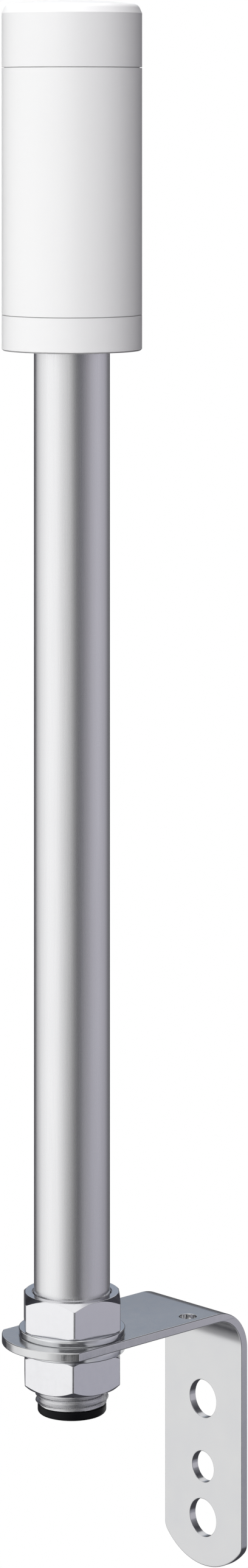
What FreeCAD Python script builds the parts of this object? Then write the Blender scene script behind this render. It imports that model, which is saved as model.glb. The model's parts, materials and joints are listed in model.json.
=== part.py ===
import FreeCAD, Part
import math
import os
import types

import Sketcher
from FreeCAD import Placement, Rotation, Vector

# Stack light: a head of three white sections on a pole, clamped by two nuts in a folded wall bracket.
# +Z is up. The wall lies at Y = 0, on the +Y side. The origin is the middle of the two large wall holes.

driving = {
    # wall bracket, folded from one plate
    "plateThickness": 2.5,
    "plateWidth": 32.0,
    "poleReach": 55.0,            # pole axis to the wall
    "armEndRadius": 20.0,
    "bendRadius": 12.0,           # outside of the fold
    "legDrop": 79.0,              # top of the plate to the leg's lowest point
    "legEndRadius": 20.0,
    "armCornerRadius": 0.6,
    "legCornerRadius": 4.0,
    "plateEdgeBreak": 0.25,
    "upperHoleDrop": 30.0,        # holes of the leg, below the top of the plate
    "middleHoleDrop": 50.0,
    "lowerHoleDrop": 65.0,
    "boltHoleRadius": 5.5,
    "middleHoleRadius": 4.5,
    "earthHoleRadius": 2.5,
    "earthHoleReach": 35.2,       # from the pole axis towards the wall
    "earthHoleSide": 11.3,
    # pole and its clamp
    "poleWall": 2.8,
    "threadDrop": 0.3725,         # thread's outside, below the pole's
    "polePassPlay": 0.2725,       # round the thread, in the bracket and the washers
    "threadChamfer": 1.2,
    "threadTail": 5.5,            # thread left below the lower nut
    "nutWall": 3.0225,            # from the thread to the flats
    "nutHeight": 10.0,
    "nutFaceInset": 0.25,         # from the flats to the flat ring inside the large chamfer
    "nutBackInset": 0.888,        # from the corners to the flat face inside the small chamfer
    "nutChamferAngle": 30.0,
    "nutSinkPlay": 0.6,           # countersink, beyond the pole's radius
    "upperNutAngle": 20.2,
    "lowerNutAngle": 19.0,
    "washerRim": 4.7225,          # beyond the thread
    "washerThickness": 2.0,
    "washerEdge": 0.25,
    "shoulderDepth": 0.3,         # pole shoulder below the upper nut's face
    "threadPlay": 0.06,
    "bushOverhang": 1.75,         # flange beyond the pole's bore
    "bushFlangeHeight": 2.4,
    "bushEdgeBreak": 0.7,
    "bushPlugLength": 8.0,
    "bushWall": 2.02,
    # head
    "headRise": 280.0,            # top of the plate to the underside of the head
    "headRadius": 20.0,
    "headOverhang": 9.15,         # head's outside beyond the pole's
    "baseHeight": 10.0,
    "baseFloor": 4.0,
    "baseEdgeBreak": 0.4,
    "lensLength": 70.0,
    "lensWall": 2.8,
    "seamGap": 0.25,
    "capHeight": 19.0,
    "capRoof": 2.2,
    "domeRise": 1.42,
    "capEdgeRadius": 2.0,
    "spigotLength": 8.0,
    "spigotWall": 1.8,
    "spigotPlay": 0.2,
    "gasketLip": 0.7,             # left outside the gasket's groove
    "gasketWidth": 0.9,
    "gasketDepth": 0.9,
    "fitPlay": 0.03,
    "cutPast": 1.0,               # how far a cut reaches past the piece
    # bayonets at both ends of the lens
    "lugCount": 3.0,
    "lugAngle": 14.0,
    "lugReach": 1.0,
    "lugHeight": 2.0,
    "lugInset": 1.5,              # from the spigot's free end
    "lugPlaceAngle": 60.0,
    "lugSweepAngle": 25.0,
    "lugPlayAngle": 0.6,
    "lugPlay": 0.2,
    # ring that holds the pole in the head
    "polePlay": 0.15,
    "flangePlay": 0.2,
    "flangeThickness": 3.0,
    "sealThickness": 1.0,
    "screwHeadMargin": 0.06,      # head to either side of the ring
    "screwHeadLedge": 0.75,       # head beyond its shank
    "screwHeadHeight": 1.6,
    "screwSlotWidth": 0.6,
    "screwGrip": 3.2,
    "screwPlay": 0.15,
    "screwPlaceAngle": 30.0,
    "screwCount": 3.0,
    # frame for the boards
    "footPlay": 0.6,
    "footThickness": 2.0,
    "screwSeatDepth": 0.3,        # spot faces for the screw heads
    "wireHoleInset": 0.65,        # inside the pole's bore
    "railInset": 2.1,
    "railWall": 2.0,
    "webThickness": 2.4,
    "lipWidth": 1.2,
    "lipThickness": 1.0,
    "carrierHeight": 68.5,
    "pegSideGap": 2.05,           # beside the terminal block
    "pegInset": 2.41,             # inside the driver board's round edge
    "pegRadius": 0.9,
    "pegPlay": 0.1,
    "bossRadius": 1.8,
    "bossHeight": 4.0,
    # boards and what they carry
    "boardThickness": 1.6,
    "boardPlay": 0.1,
    "boardSetback": 2.5,          # below the frame's upper end
    "ledSide": 3.5,
    "ledHeight": 1.0,
    "ledSideGap": 1.55,           # to the frame's lips
    "ledRowPitch": 7.0,
    "ledRowCount": 7.0,
    "ledFirstRow": 19.0,
    "driverBoardInset": 1.2,
    "driverBoardRim": 1.9,        # beside the pegs
    "terminalPitch": 3.5,
    "terminalWays": 3.0,
    "terminalGap": 0.26,          # behind the block, to the pins
    "terminalInset": 0.53,
    "terminalHeight": 8.5,
    "terminalWellRadius": 1.3,
    "terminalWellDepth": 3.0,
    "terminalEntry": 2.4,
    "terminalEntryRise": 2.0,
    "terminalEntryDepth": 4.0,
    "pinThickness": 0.64,
    "pinPitch": 2.54,
    "pinCount": 4.0,
    "pinRise": 1.9,
    "pinInset": 0.5,              # from the driver board's straight edge
    "windowHeight": 3.0,
    "windowTop": 2.8,             # below the frame's upper end
}


class Size:
    """A size as a number and as the expression over the spreadsheet that gives it."""

    def __init__(self, text, value):
        self.text = text
        self.value = value

    def __add__(self, other):
        other = asSize(other)
        return Size(f"({self.text} + {other.text})", self.value + other.value)

    def __sub__(self, other):
        other = asSize(other)
        return Size(f"({self.text} - {other.text})", self.value - other.value)

    def __mul__(self, other):
        other = asSize(other)
        return Size(f"({self.text} * {other.text})", self.value * other.value)

    def __truediv__(self, other):
        other = asSize(other)
        return Size(f"({self.text} / {other.text})", self.value / other.value)

    def __neg__(self):
        return Size(f"(0 - {self.text})", -self.value)


def asSize(number):
    return number if isinstance(number, Size) else Size(str(float(number)), float(number))


def root(size):
    return Size(f"sqrt({size.text})", math.sqrt(size.value))


def cosine(angle):
    angle = asSize(angle)
    return Size(f"cos({angle.text})", math.cos(math.radians(angle.value)))


def sine(angle):
    angle = asSize(angle)
    return Size(f"sin({angle.text})", math.sin(math.radians(angle.value)))


doc = FreeCAD.newDocument("StackLight")
sheet = doc.addObject("Spreadsheet::Sheet", "Sizes")
for row, (alias, number) in enumerate(driving.items(), start=1):
    sheet.set(f"A{row}", alias)
    sheet.set(f"B{row}", str(number))
    sheet.setAlias(f"B{row}", alias)
doc.recompute()
d = types.SimpleNamespace(**{alias: Size(f"Sizes.{alias}", number) for alias, number in driving.items()})

fullTurn = 360

# heights worked out from the driving sizes
plateTop = (d.upperHoleDrop + d.lowerHoleDrop) / 2
upperNutTop = plateTop + d.washerThickness + d.nutHeight
lowerWasherFoot = plateTop - d.plateThickness - d.washerThickness
lowerNutFoot = lowerWasherFoot - d.nutHeight
poleFoot = lowerNutFoot - d.threadTail
headFoot = plateTop + d.headRise
lensFoot = headFoot + d.baseHeight + d.seamGap
capFoot = lensFoot + d.lensLength + d.seamGap
flangeFoot = headFoot + d.baseFloor + d.sealThickness
flangeTop = flangeFoot + d.flangeThickness
driverBoardFoot = flangeTop + d.footThickness + d.bossHeight
driverBoardTop = driverBoardFoot + d.boardThickness

# radii shared by pieces that fit together
poleRadius = d.headRadius - d.headOverhang
threadRadius = poleRadius - d.threadDrop
poleHoleRadius = threadRadius + d.polePassPlay
poleBoreRadius = poleRadius - d.poleWall
nutBoreRadius = threadRadius + d.threadPlay
washerRadius = threadRadius + d.washerRim
hexFlatRadius = threadRadius + d.nutWall
hexCornerRadius = hexFlatRadius / cosine(30)
lensBoreRadius = d.headRadius - d.lensWall
spigotRadius = lensBoreRadius - d.spigotPlay
spigotBoreRadius = spigotRadius - d.spigotWall
lugRadius = spigotRadius + d.lugReach
gasketOuterRadius = d.headRadius - d.gasketLip
gasketInnerRadius = gasketOuterRadius - d.gasketWidth

# the ring on the pole, and the screws that fit in its width
flangeBoreRadius = poleRadius + d.fitPlay
flangeRadius = spigotBoreRadius - d.flangePlay
screwCircleRadius = (flangeBoreRadius + flangeRadius) / 2
screwHeadRadius = (flangeRadius - flangeBoreRadius) / 2 - d.screwHeadMargin
screwRadius = screwHeadRadius - d.screwHeadLedge
carrierScrewAngle = d.screwPlaceAngle + asSize(fullTurn / 2) / d.screwCount

# the frame, and the boards in front of and behind its web
footRadius = spigotBoreRadius - d.footPlay
railReach = footRadius - d.railInset
webReach = railReach - d.railWall
lipReach = webReach - d.lipWidth
boardFront = d.webThickness / 2 + d.boardThickness
railDepth = boardFront + d.boardPlay + d.lipThickness

# the driver board, its pegs, and the terminal block and pins on it
driverBoardRadius = spigotBoreRadius - d.driverBoardInset
driverBoardBack = railDepth + d.boardPlay
pinBack = driverBoardBack + d.pinInset
terminalBack = pinBack + d.pinThickness + d.terminalGap
terminalHalf = d.terminalPitch * d.terminalWays / 2
terminalReach = driverBoardRadius - d.terminalInset
terminalFront = root(terminalReach * terminalReach - terminalHalf * terminalHalf)
pegReach = driverBoardRadius - d.pegInset
pegSpread = terminalHalf + d.pegSideGap
pegForward = root(pegReach * pegReach - pegSpread * pegSpread)
driverBoardHalfWidth = pegSpread + d.driverBoardRim

subParts = []


# ---------------------------------------------------------------- helpers

def bind(item, prop, size):
    item.setExpression(prop, asSize(size).text)


def place(item, x=0.0, y=0.0, z=0.0, turn=None):
    for axis, size in (("x", x), ("y", y), ("z", z)):
        bind(item, f"Placement.Base.{axis}", size)
    if turn is not None:
        item.Placement = Placement(Vector(), Rotation(Vector(0, 0, 1), asSize(turn).value))
        bind(item, "Placement.Rotation.Angle", turn)


def onPole(item, z, turn=None):
    place(item, y=-d.poleReach, z=z, turn=turn)


def finish(item, label):
    item.Label = label
    subParts.append(item)
    return item


def newBody(label, severalSolids=False):
    body = doc.addObject("PartDesign::Body", "Body_" + label)
    body.AllowCompound = severalSolids
    return finish(body, label)


def origin(body, role):
    return next(item for item in body.Origin.OriginFeatures if item.Role == role)


def newSketch(body, plane, lift=0.0, turn=0.0):
    sketch = body.newObject("Sketcher::SketchObject", "Sketch")
    sketch.AttachmentSupport = [(origin(body, plane), "")]
    sketch.MapMode = "FlatFace"
    sketch.AttachmentOffset = Placement(Vector(), Rotation(Vector(0, 1, 0), asSize(turn).value))
    bind(sketch, "AttachmentOffset.Base.z", lift)
    bind(sketch, "AttachmentOffset.Rotation.Angle", turn)
    return sketch


def fix(sketch, kind, size, *where):
    index = sketch.addConstraint(Sketcher.Constraint(kind, *where, asSize(size).value))
    bind(sketch, f"Constraints[{index}]", size)


def outline(sketch, corners, arcs=None):
    """A closed loop through the corners.

    arcs gives the radius of the edge after a corner; below zero it bends to the right.
    """
    arcs = arcs or {}
    corners = [(asSize(x), asSize(y)) for x, y in corners]
    points = [Vector(x.value, y.value, 0) for x, y in corners]
    ends = []
    for i, start in enumerate(points):
        stop = points[(i + 1) % len(points)]
        if i not in arcs:
            edge = sketch.addGeometry(Part.LineSegment(start, stop), False)
            ends.append((edge, 1, 2))
            continue
        radius = arcs[i]
        chord = stop - start
        left = Vector(-chord.y, chord.x, 0).normalize()
        side = 1 if radius.value > 0 else -1
        depth = math.sqrt(max(radius.value ** 2 - chord.Length ** 2 / 4, 0.0))
        centre = (start + stop) / 2 + left * depth * side
        first, last = (start, stop) if side > 0 else (stop, start)
        angles = [math.atan2(p.y - centre.y, p.x - centre.x) for p in (first, last)]
        circle = Part.Circle(centre, Vector(0, 0, 1), abs(radius.value))
        edge = sketch.addGeometry(Part.ArcOfCircle(circle, angles[0], angles[1]), False)
        ends.append((edge, 1, 2) if side > 0 else (edge, 2, 1))
        fix(sketch, "Radius", radius if side > 0 else -radius, edge)
    for i, (edge, _, stopEnd) in enumerate(ends):
        nextEdge, nextStart, _ = ends[(i + 1) % len(ends)]
        sketch.addConstraint(Sketcher.Constraint("Coincident", edge, stopEnd, nextEdge, nextStart))
    for (edge, startEnd, _), (x, y) in zip(ends, corners):
        fix(sketch, "DistanceX", x, -1, 1, edge, startEnd)
        fix(sketch, "DistanceY", y, -1, 1, edge, startEnd)
    return sketch


def rectangle(sketch, left, right, low, high):
    return outline(sketch, [(left, low), (right, low), (right, high), (left, high)])


def circle(sketch, x, y, radius):
    x, y, radius = asSize(x), asSize(y), asSize(radius)
    middle = Vector(x.value, y.value, 0)
    ring = sketch.addGeometry(Part.Circle(middle, Vector(0, 0, 1), radius.value), False)
    fix(sketch, "Radius", radius, ring)
    fix(sketch, "DistanceX", x, -1, 1, ring, 3)
    fix(sketch, "DistanceY", y, -1, 1, ring, 3)
    return sketch


def feature(body, kind, sketch, size=None, axis=None, middle=False, through=False, backwards=False):
    before = body.Shape.Volume if body.Tip else 0.0
    item = body.newObject("PartDesign::" + kind, kind)
    item.Profile = sketch
    item.Midplane = middle
    item.Reversed = backwards
    if axis:
        item.ReferenceAxis = (sketch, [axis])
    if through:
        item.Type = "ThroughAll"
    if size is not None:
        bind(item, "Angle" if axis else "Length", size)
    doc.recompute()
    removed = before - body.Shape.Volume
    if kind in ("Pocket", "Groove") and removed <= 1e-6:
        raise RuntimeError(f"{body.Label}: {item.Name} removes nothing")
    return item


def around(body, originals, count):
    pattern = body.newObject("PartDesign::PolarPattern", "PolarPattern")
    pattern.Originals = originals
    pattern.Axis = (origin(body, "Z_Axis"), [""])
    pattern.Angle = fullTurn
    bind(pattern, "Occurrences", count)
    body.Tip = pattern
    doc.recompute()
    return pattern


def along(body, originals, axis, pitch, count):
    pattern = body.newObject("PartDesign::LinearPattern", "LinearPattern")
    pattern.Originals = originals
    pattern.Direction = (origin(body, axis), [""])
    bind(pattern, "Length", pitch * (count - 1))
    bind(pattern, "Occurrences", count)
    body.Tip = pattern
    doc.recompute()
    return pattern


def dressEdges(body, kind, size, wanted):
    """Fillets or chamfers the edges of the body so far for which wanted(shape, edge) holds."""
    shape = body.Shape
    names = [f"Edge{i}" for i, edge in enumerate(shape.Edges, start=1) if wanted(shape, edge)]
    base = body.Tip
    item = body.newObject("PartDesign::" + kind, kind)
    item.Base = (base, names)
    bind(item, "Radius" if kind == "Fillet" else "Size", size)
    doc.recompute()
    return item


def turned(label, corners, arcs=None):
    body = newBody(label)
    profile = outline(newSketch(body, "XZ_Plane"), corners, arcs)
    feature(body, "Revolution", profile, size=fullTurn, axis="V_Axis")
    return body


def ringCorners(inner, outer, low, high):
    return [(inner, low), (outer, low), (outer, high), (inner, high)]


# ---------------------------------------------------------------- bracket

def isSharp(shape, edge):
    """True where the two faces beside an edge meet at an angle."""
    faces = shape.ancestorsOfType(edge, Part.Face)
    if len(faces) < 2:
        return False
    middle = edge.valueAt((edge.FirstParameter + edge.LastParameter) / 2)
    normals = [face.normalAt(*face.Surface.parameter(middle)) for face in faces]
    return normals[0].getAngle(normals[1]) > math.radians(20)


def endTrim(sketch, straightTo, radius, away):
    """Cuts the end of a plate to an arc. away is +1 or -1 along the sketch's Y."""
    half = d.plateWidth / 2
    tip = straightTo + radius
    corners = [
        (-half * away, straightTo * away),
        (half * away, straightTo * away),
        (d.plateWidth * away, straightTo * away),
        (d.plateWidth * away, (tip + half) * away),
        (-d.plateWidth * away, (tip + half) * away),
        (-d.plateWidth * away, straightTo * away),
    ]
    return outline(sketch, corners, {0: -radius})


def buildBracket():
    body = newBody("bracket")
    half = d.plateWidth / 2
    inner = d.bendRadius - d.plateThickness
    armTip = -(d.poleReach + d.armEndRadius)
    fold = outline(newSketch(body, "YZ_Plane"), [
        (armTip, 0),
        (armTip, -d.plateThickness),
        (-d.bendRadius, -d.plateThickness),
        (-d.plateThickness, -d.bendRadius),
        (-d.plateThickness, -d.legDrop),
        (0, -d.legDrop),
        (0, -d.bendRadius),
        (-d.bendRadius, 0),
    ], {2: -inner, 6: d.bendRadius})
    feature(body, "Pad", fold, size=d.plateWidth, middle=True)
    armStraight = d.poleReach + root(d.armEndRadius * d.armEndRadius - half * half)
    legStraight = d.legDrop - d.legEndRadius + root(d.legEndRadius * d.legEndRadius - half * half)
    armCut = endTrim(newSketch(body, "XY_Plane"), armStraight, d.armEndRadius, -1)
    feature(body, "Pocket", armCut, middle=True, through=True)
    legCut = endTrim(newSketch(body, "XZ_Plane"), legStraight, d.legEndRadius, -1)
    feature(body, "Pocket", legCut, middle=True, through=True)

    def isArmCorner(_, edge):
        spot = edge.CenterOfMass
        return abs(abs(spot.x) - half.value) < 0.01 and abs(spot.y + armStraight.value) < 0.01

    def isLegCorner(_, edge):
        spot = edge.CenterOfMass
        return abs(abs(spot.x) - half.value) < 0.01 and abs(spot.z + legStraight.value) < 0.01

    dressEdges(body, "Fillet", d.armCornerRadius, isArmCorner)
    dressEdges(body, "Fillet", d.legCornerRadius, isLegCorner)
    dressEdges(body, "Chamfer", d.plateEdgeBreak, isSharp)
    armHoles = newSketch(body, "XY_Plane")
    circle(armHoles, 0, -d.poleReach, poleHoleRadius)
    circle(armHoles, d.earthHoleSide, d.earthHoleReach - d.poleReach, d.earthHoleRadius)
    feature(body, "Pocket", armHoles, middle=True, through=True)
    legHoles = newSketch(body, "XZ_Plane")
    circle(legHoles, 0, -d.upperHoleDrop, d.boltHoleRadius)
    circle(legHoles, 0, -d.middleHoleDrop, d.middleHoleRadius)
    circle(legHoles, 0, -d.lowerHoleDrop, d.boltHoleRadius)
    feature(body, "Pocket", legHoles, middle=True, through=True)
    place(body, z=plateTop)


# ---------------------------------------------------------------- pole and clamp

def buildPole():
    poleTop = flangeTop - poleFoot
    shoulder = upperNutTop - d.shoulderDepth - poleFoot
    threadEnd = shoulder - (poleRadius - threadRadius)
    pole = turned("pole", [
        (poleBoreRadius, 0),
        (threadRadius - d.threadChamfer, 0),
        (threadRadius, d.threadChamfer),
        (threadRadius, threadEnd),
        (poleRadius, shoulder),
        (poleRadius, poleTop),
        (poleBoreRadius, poleTop),
    ])
    onPole(pole, poleFoot)


def buildNut(label, foot, turn, faceUp):
    """A hexagon nut. The large chamfer faces up or down, and the bore is countersunk at both ends."""
    body = newBody(label)
    hexagon = [(hexCornerRadius * cosine(60 * k), hexCornerRadius * sine(60 * k)) for k in range(6)]
    feature(body, "Pad", outline(newSketch(body, "XY_Plane"), hexagon), size=d.nutHeight)
    beyond = hexCornerRadius + d.cutPast
    slope = sine(d.nutChamferAngle) / cosine(d.nutChamferAngle)
    faceRadius = hexFlatRadius - d.nutFaceInset
    backRadius = hexCornerRadius - d.nutBackInset
    topRadius, lowRadius = (faceRadius, backRadius) if faceUp else (backRadius, faceRadius)
    for radius, face, inward in ((topRadius, d.nutHeight, -1), (lowRadius, asSize(0), 1)):
        cut = newSketch(body, "XZ_Plane")
        depth = (beyond - radius) * slope
        outline(cut, [(radius, face), (beyond, face), (beyond, face + depth * inward)])
        feature(body, "Groove", cut, size=fullTurn, axis="V_Axis")
    sinkRadius = poleRadius + d.nutSinkPlay
    sink = sinkRadius - nutBoreRadius
    bore = outline(newSketch(body, "XZ_Plane"), [
        (0, 0),
        (sinkRadius, 0),
        (nutBoreRadius, sink),
        (nutBoreRadius, d.nutHeight - sink),
        (sinkRadius, d.nutHeight),
        (0, d.nutHeight),
    ])
    feature(body, "Groove", bore, size=fullTurn, axis="V_Axis")
    onPole(body, foot, turn)


def buildWasher(label, foot):
    edge = d.washerEdge
    washer = turned(label, [
        (poleHoleRadius, 0),
        (washerRadius - edge, 0),
        (washerRadius, edge),
        (washerRadius, d.washerThickness - edge),
        (washerRadius - edge, d.washerThickness),
        (poleHoleRadius, d.washerThickness),
    ])
    onPole(washer, foot)


def buildBush():
    plugRadius = poleBoreRadius - d.fitPlay
    boreRadius = plugRadius - d.bushWall
    flangeEdge = poleBoreRadius + d.bushOverhang
    bush = turned("end_bush", [
        (boreRadius, -d.bushFlangeHeight),
        (flangeEdge - d.bushEdgeBreak, -d.bushFlangeHeight),
        (flangeEdge, d.bushEdgeBreak - d.bushFlangeHeight),
        (flangeEdge, 0),
        (plugRadius, 0),
        (plugRadius, d.bushPlugLength),
        (boreRadius, d.bushPlugLength),
    ])
    onPole(bush, poleFoot)


# ---------------------------------------------------------------- head: base, lens and cap

def sector(body, kind, middleAngle, angle, inner, outer, low, high):
    """Adds or cuts a block that reaches round the axis through an angle."""
    block = rectangle(newSketch(body, "XZ_Plane", turn=middleAngle), inner, outer, low, high)
    return feature(body, kind, block, size=angle, axis="V_Axis", middle=True)


def addLugs(body, low):
    inside = spigotRadius - d.spigotWall / 2
    high = low + d.lugHeight
    lug = sector(body, "Revolution", d.lugPlaceAngle, d.lugAngle, inside, lugRadius, low, high)
    around(body, [lug], d.lugCount)


def addTracks(body, lugLow, mouth, way):
    """Cuts the bayonet tracks of one end of the lens. The run leads to its mouth in the sense of way."""
    inside = lensBoreRadius - d.cutPast
    outside = lugRadius + d.lugPlay
    width = d.lugAngle + d.lugPlayAngle * 2
    runMiddle = d.lugPlaceAngle + d.lugSweepAngle * way / 2
    entryMiddle = d.lugPlaceAngle + d.lugSweepAngle * way
    low = lugLow - d.lugPlay
    high = lugLow + d.lugHeight + d.lugPlay
    run = sector(body, "Groove", runMiddle, width + d.lugSweepAngle, inside, outside, low, high)
    ends = (mouth, high) if mouth.value < low.value else (low, mouth)
    entry = sector(body, "Groove", entryMiddle, width, inside, outside, *ends)
    around(body, [run, entry], d.lugCount)


def holeRing(body, radius, turn, lift, depth):
    """Cuts holes on the screw circle, one for each screw of a set."""
    hole = newSketch(body, "XY_Plane", lift=lift)
    circle(hole, screwCircleRadius * cosine(turn), screwCircleRadius * sine(turn), radius)
    around(body, [feature(body, "Pocket", hole, size=depth)], d.screwCount)


def buildBase():
    grooveInner = gasketInnerRadius - d.fitPlay
    grooveOuter = gasketOuterRadius + d.fitPlay
    shoulder = d.baseHeight
    poleClear = poleRadius + d.polePlay
    spigotTop = shoulder + d.spigotLength
    base = turned("base_housing", [
        (poleClear, 0),
        (d.headRadius - d.baseEdgeBreak, 0),
        (d.headRadius, d.baseEdgeBreak),
        (d.headRadius, shoulder),
        (grooveOuter, shoulder),
        (grooveOuter, shoulder - d.gasketDepth),
        (grooveInner, shoulder - d.gasketDepth),
        (grooveInner, shoulder),
        (spigotRadius, shoulder),
        (spigotRadius, spigotTop),
        (spigotBoreRadius, spigotTop),
        (spigotBoreRadius, d.baseFloor),
        (poleClear, d.baseFloor),
    ])
    addLugs(base, spigotTop - d.lugInset - d.lugHeight)
    holeRing(base, screwRadius + d.fitPlay, d.screwPlaceAngle, d.baseFloor, d.screwGrip)
    onPole(base, headFoot)


def buildLens():
    lens = turned("lens", ringCorners(lensBoreRadius, d.headRadius, 0, d.lensLength))
    lugDrop = d.spigotLength - d.lugInset
    lowLug = lugDrop - d.lugHeight - d.seamGap
    highLug = d.lensLength + d.seamGap - lugDrop
    addTracks(lens, lowLug, -d.cutPast, -1)
    addTracks(lens, highLug, d.lensLength + d.cutPast, 1)
    onPole(lens, lensFoot)


def buildCap():
    grooveInner = gasketInnerRadius - d.fitPlay
    grooveOuter = gasketOuterRadius + d.fitPlay
    domeRadius = (d.headRadius * d.headRadius + d.domeRise * d.domeRise) / (d.domeRise * 2)
    domeCentre = d.capHeight - domeRadius
    roof = d.capHeight - d.domeRise - d.capRoof
    # the edge is an arc that meets the side and the dome without a corner
    edgeCentre = d.headRadius - d.capEdgeRadius
    reach = domeRadius - d.capEdgeRadius
    edgeFoot = domeCentre + root(reach * reach - edgeCentre * edgeCentre)
    outward = domeRadius / reach
    domeEdge = (edgeCentre * outward, domeCentre + (edgeFoot - domeCentre) * outward)
    cap = turned("top_cap", [
        (spigotBoreRadius, -d.spigotLength),
        (spigotRadius, -d.spigotLength),
        (spigotRadius, 0),
        (grooveInner, 0),
        (grooveInner, d.gasketDepth),
        (grooveOuter, d.gasketDepth),
        (grooveOuter, 0),
        (d.headRadius, 0),
        (d.headRadius, edgeFoot),
        domeEdge,
        (0, d.capHeight),
        (0, roof),
        (spigotBoreRadius, roof),
    ], {8: d.capEdgeRadius, 9: domeRadius})
    addLugs(cap, d.lugInset - d.spigotLength)
    onPole(cap, capFoot)


def buildGaskets():
    height = d.gasketDepth + d.seamGap
    low = turned("base_gasket", ringCorners(gasketInnerRadius, gasketOuterRadius, 0, height))
    onPole(low, headFoot + d.baseHeight - d.gasketDepth)
    high = turned("cap_gasket", ringCorners(gasketInnerRadius, gasketOuterRadius, 0, height))
    onPole(high, lensFoot + d.lensLength)


# ---------------------------------------------------------------- head: ring on the pole and its screws

def buildFlange():
    flange = turned("pole_flange", ringCorners(flangeBoreRadius, flangeRadius, 0, d.flangeThickness))
    depth = d.flangeThickness
    holeRing(flange, screwRadius + d.screwPlay, d.screwPlaceAngle, depth, depth)
    holeRing(flange, screwRadius + d.fitPlay, carrierScrewAngle, depth, depth)
    onPole(flange, flangeFoot)
    seal = turned("pole_gasket", ringCorners(poleRadius + d.polePlay, flangeRadius, 0, d.sealThickness))
    holeRing(seal, screwRadius + d.screwPlay, d.screwPlaceAngle, d.sealThickness, d.sealThickness)
    onPole(seal, headFoot + d.baseFloor)


def buildScrews(label, seat, length, turn):
    """A set of slotted screws as one node. Local Z = 0 is the underside of the heads."""
    body = newBody(label, severalSolids=True)
    axisX = screwCircleRadius
    half = d.screwSlotWidth / 2
    head = circle(newSketch(body, "XY_Plane"), axisX, 0, screwHeadRadius)
    shank = circle(newSketch(body, "XY_Plane"), axisX, 0, screwRadius)
    slot = newSketch(body, "XY_Plane", lift=d.screwHeadHeight)
    rectangle(slot, axisX - half, axisX + half, -screwHeadRadius * 2, screwHeadRadius * 2)
    parts = [
        feature(body, "Pad", head, size=d.screwHeadHeight),
        feature(body, "Pad", shank, size=length, backwards=True),
        feature(body, "Pocket", slot, size=d.screwSlotWidth),
    ]
    around(body, parts, d.screwCount)
    onPole(body, seat, turn)


# ---------------------------------------------------------------- head: frame, boards and terminals

def buildCarrier():
    body = newBody("board_carrier")
    foot = circle(newSketch(body, "XY_Plane"), 0, 0, footRadius)
    circle(foot, 0, 0, poleBoreRadius - d.wireHoleInset)
    feature(body, "Pad", foot, size=d.footThickness)
    web = d.webThickness / 2
    lip = railDepth - d.lipThickness
    quarter = [
        (railReach, railDepth),
        (lipReach, railDepth),
        (lipReach, lip),
        (webReach, lip),
        (webReach, web),
    ]
    halfSection = quarter + [(-x, y) for x, y in reversed(quarter)]
    section = halfSection + [(-x, -y) for x, y in halfSection]
    feature(body, "Pad", outline(newSketch(body, "XY_Plane"), section), size=d.carrierHeight)
    pegHeight = d.bossHeight + d.boardThickness * 1.5
    for radius, height in ((d.bossRadius, d.bossHeight), (d.pegRadius, pegHeight)):
        posts = newSketch(body, "XY_Plane")
        for side in (-1, 1):
            circle(posts, pegSpread * side, -pegForward, radius)
        feature(body, "Pad", posts, size=d.footThickness + height)
    window = newSketch(body, "XZ_Plane")
    pinRow = d.pinPitch * d.pinCount / 2 + d.pinThickness
    windowTop = d.carrierHeight - d.windowTop
    rectangle(window, -pinRow, pinRow, windowTop - d.windowHeight, windowTop)
    feature(body, "Pocket", window, size=d.webThickness * 2, middle=True)
    headTop = d.footThickness + d.screwHeadHeight
    headClear = screwHeadRadius + d.screwPlay
    holeRing(body, headClear + d.screwPlay, d.screwPlaceAngle, d.footThickness, d.footThickness)
    holeRing(body, headClear, carrierScrewAngle, headTop, d.screwHeadHeight + d.screwSeatDepth)
    holeRing(body, screwRadius + d.screwPlay, carrierScrewAngle, d.footThickness, d.footThickness)
    onPole(body, flangeTop)


def buildLedBoard(label, front):
    """An upright board in the frame's card slot, with its lights as a group of their own."""
    side = -1 if front else 1
    back = d.webThickness / 2
    reach = webReach - d.boardPlay
    columnPitch = lipReach - d.ledSide / 2 - d.ledSideGap
    board = doc.addObject("Part::Box", "Box_" + label)
    bind(board, "Length", reach * 2)
    bind(board, "Width", d.boardThickness)
    bind(board, "Height", d.carrierHeight - d.footThickness - d.boardSetback)
    nearest = back if side > 0 else -boardFront
    place(board, x=-reach, y=nearest - d.poleReach, z=flangeTop + d.footThickness)
    finish(board, label + "_led_board")

    lights = newBody(label + "_leds", severalSolids=True)
    half = d.ledSide / 2
    face = newSketch(lights, "XZ_Plane", lift=boardFront * -side)
    for column in (-1, 0, 1):
        middle = columnPitch * column
        rectangle(face, middle - half, middle + half, d.ledFirstRow - half, d.ledFirstRow + half)
    lightRow = feature(lights, "Pad", face, size=d.ledHeight, backwards=not front)
    along(lights, [lightRow], "Z_Axis", d.ledRowPitch, d.ledRowCount)
    onPole(lights, flangeTop)


def buildDriverBoard():
    body = newBody("driver_board")
    half = driverBoardHalfWidth
    front = -root(driverBoardRadius * driverBoardRadius - half * half)
    shape = outline(newSketch(body, "XY_Plane"), [
        (-half, -driverBoardBack),
        (-half, front),
        (half, front),
        (half, -driverBoardBack),
    ], {1: driverBoardRadius})
    for side in (-1, 1):
        circle(shape, pegSpread * side, -pegForward, d.pegRadius + d.pegPlay)
    feature(body, "Pad", shape, size=d.boardThickness)
    onPole(body, driverBoardFoot)


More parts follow.
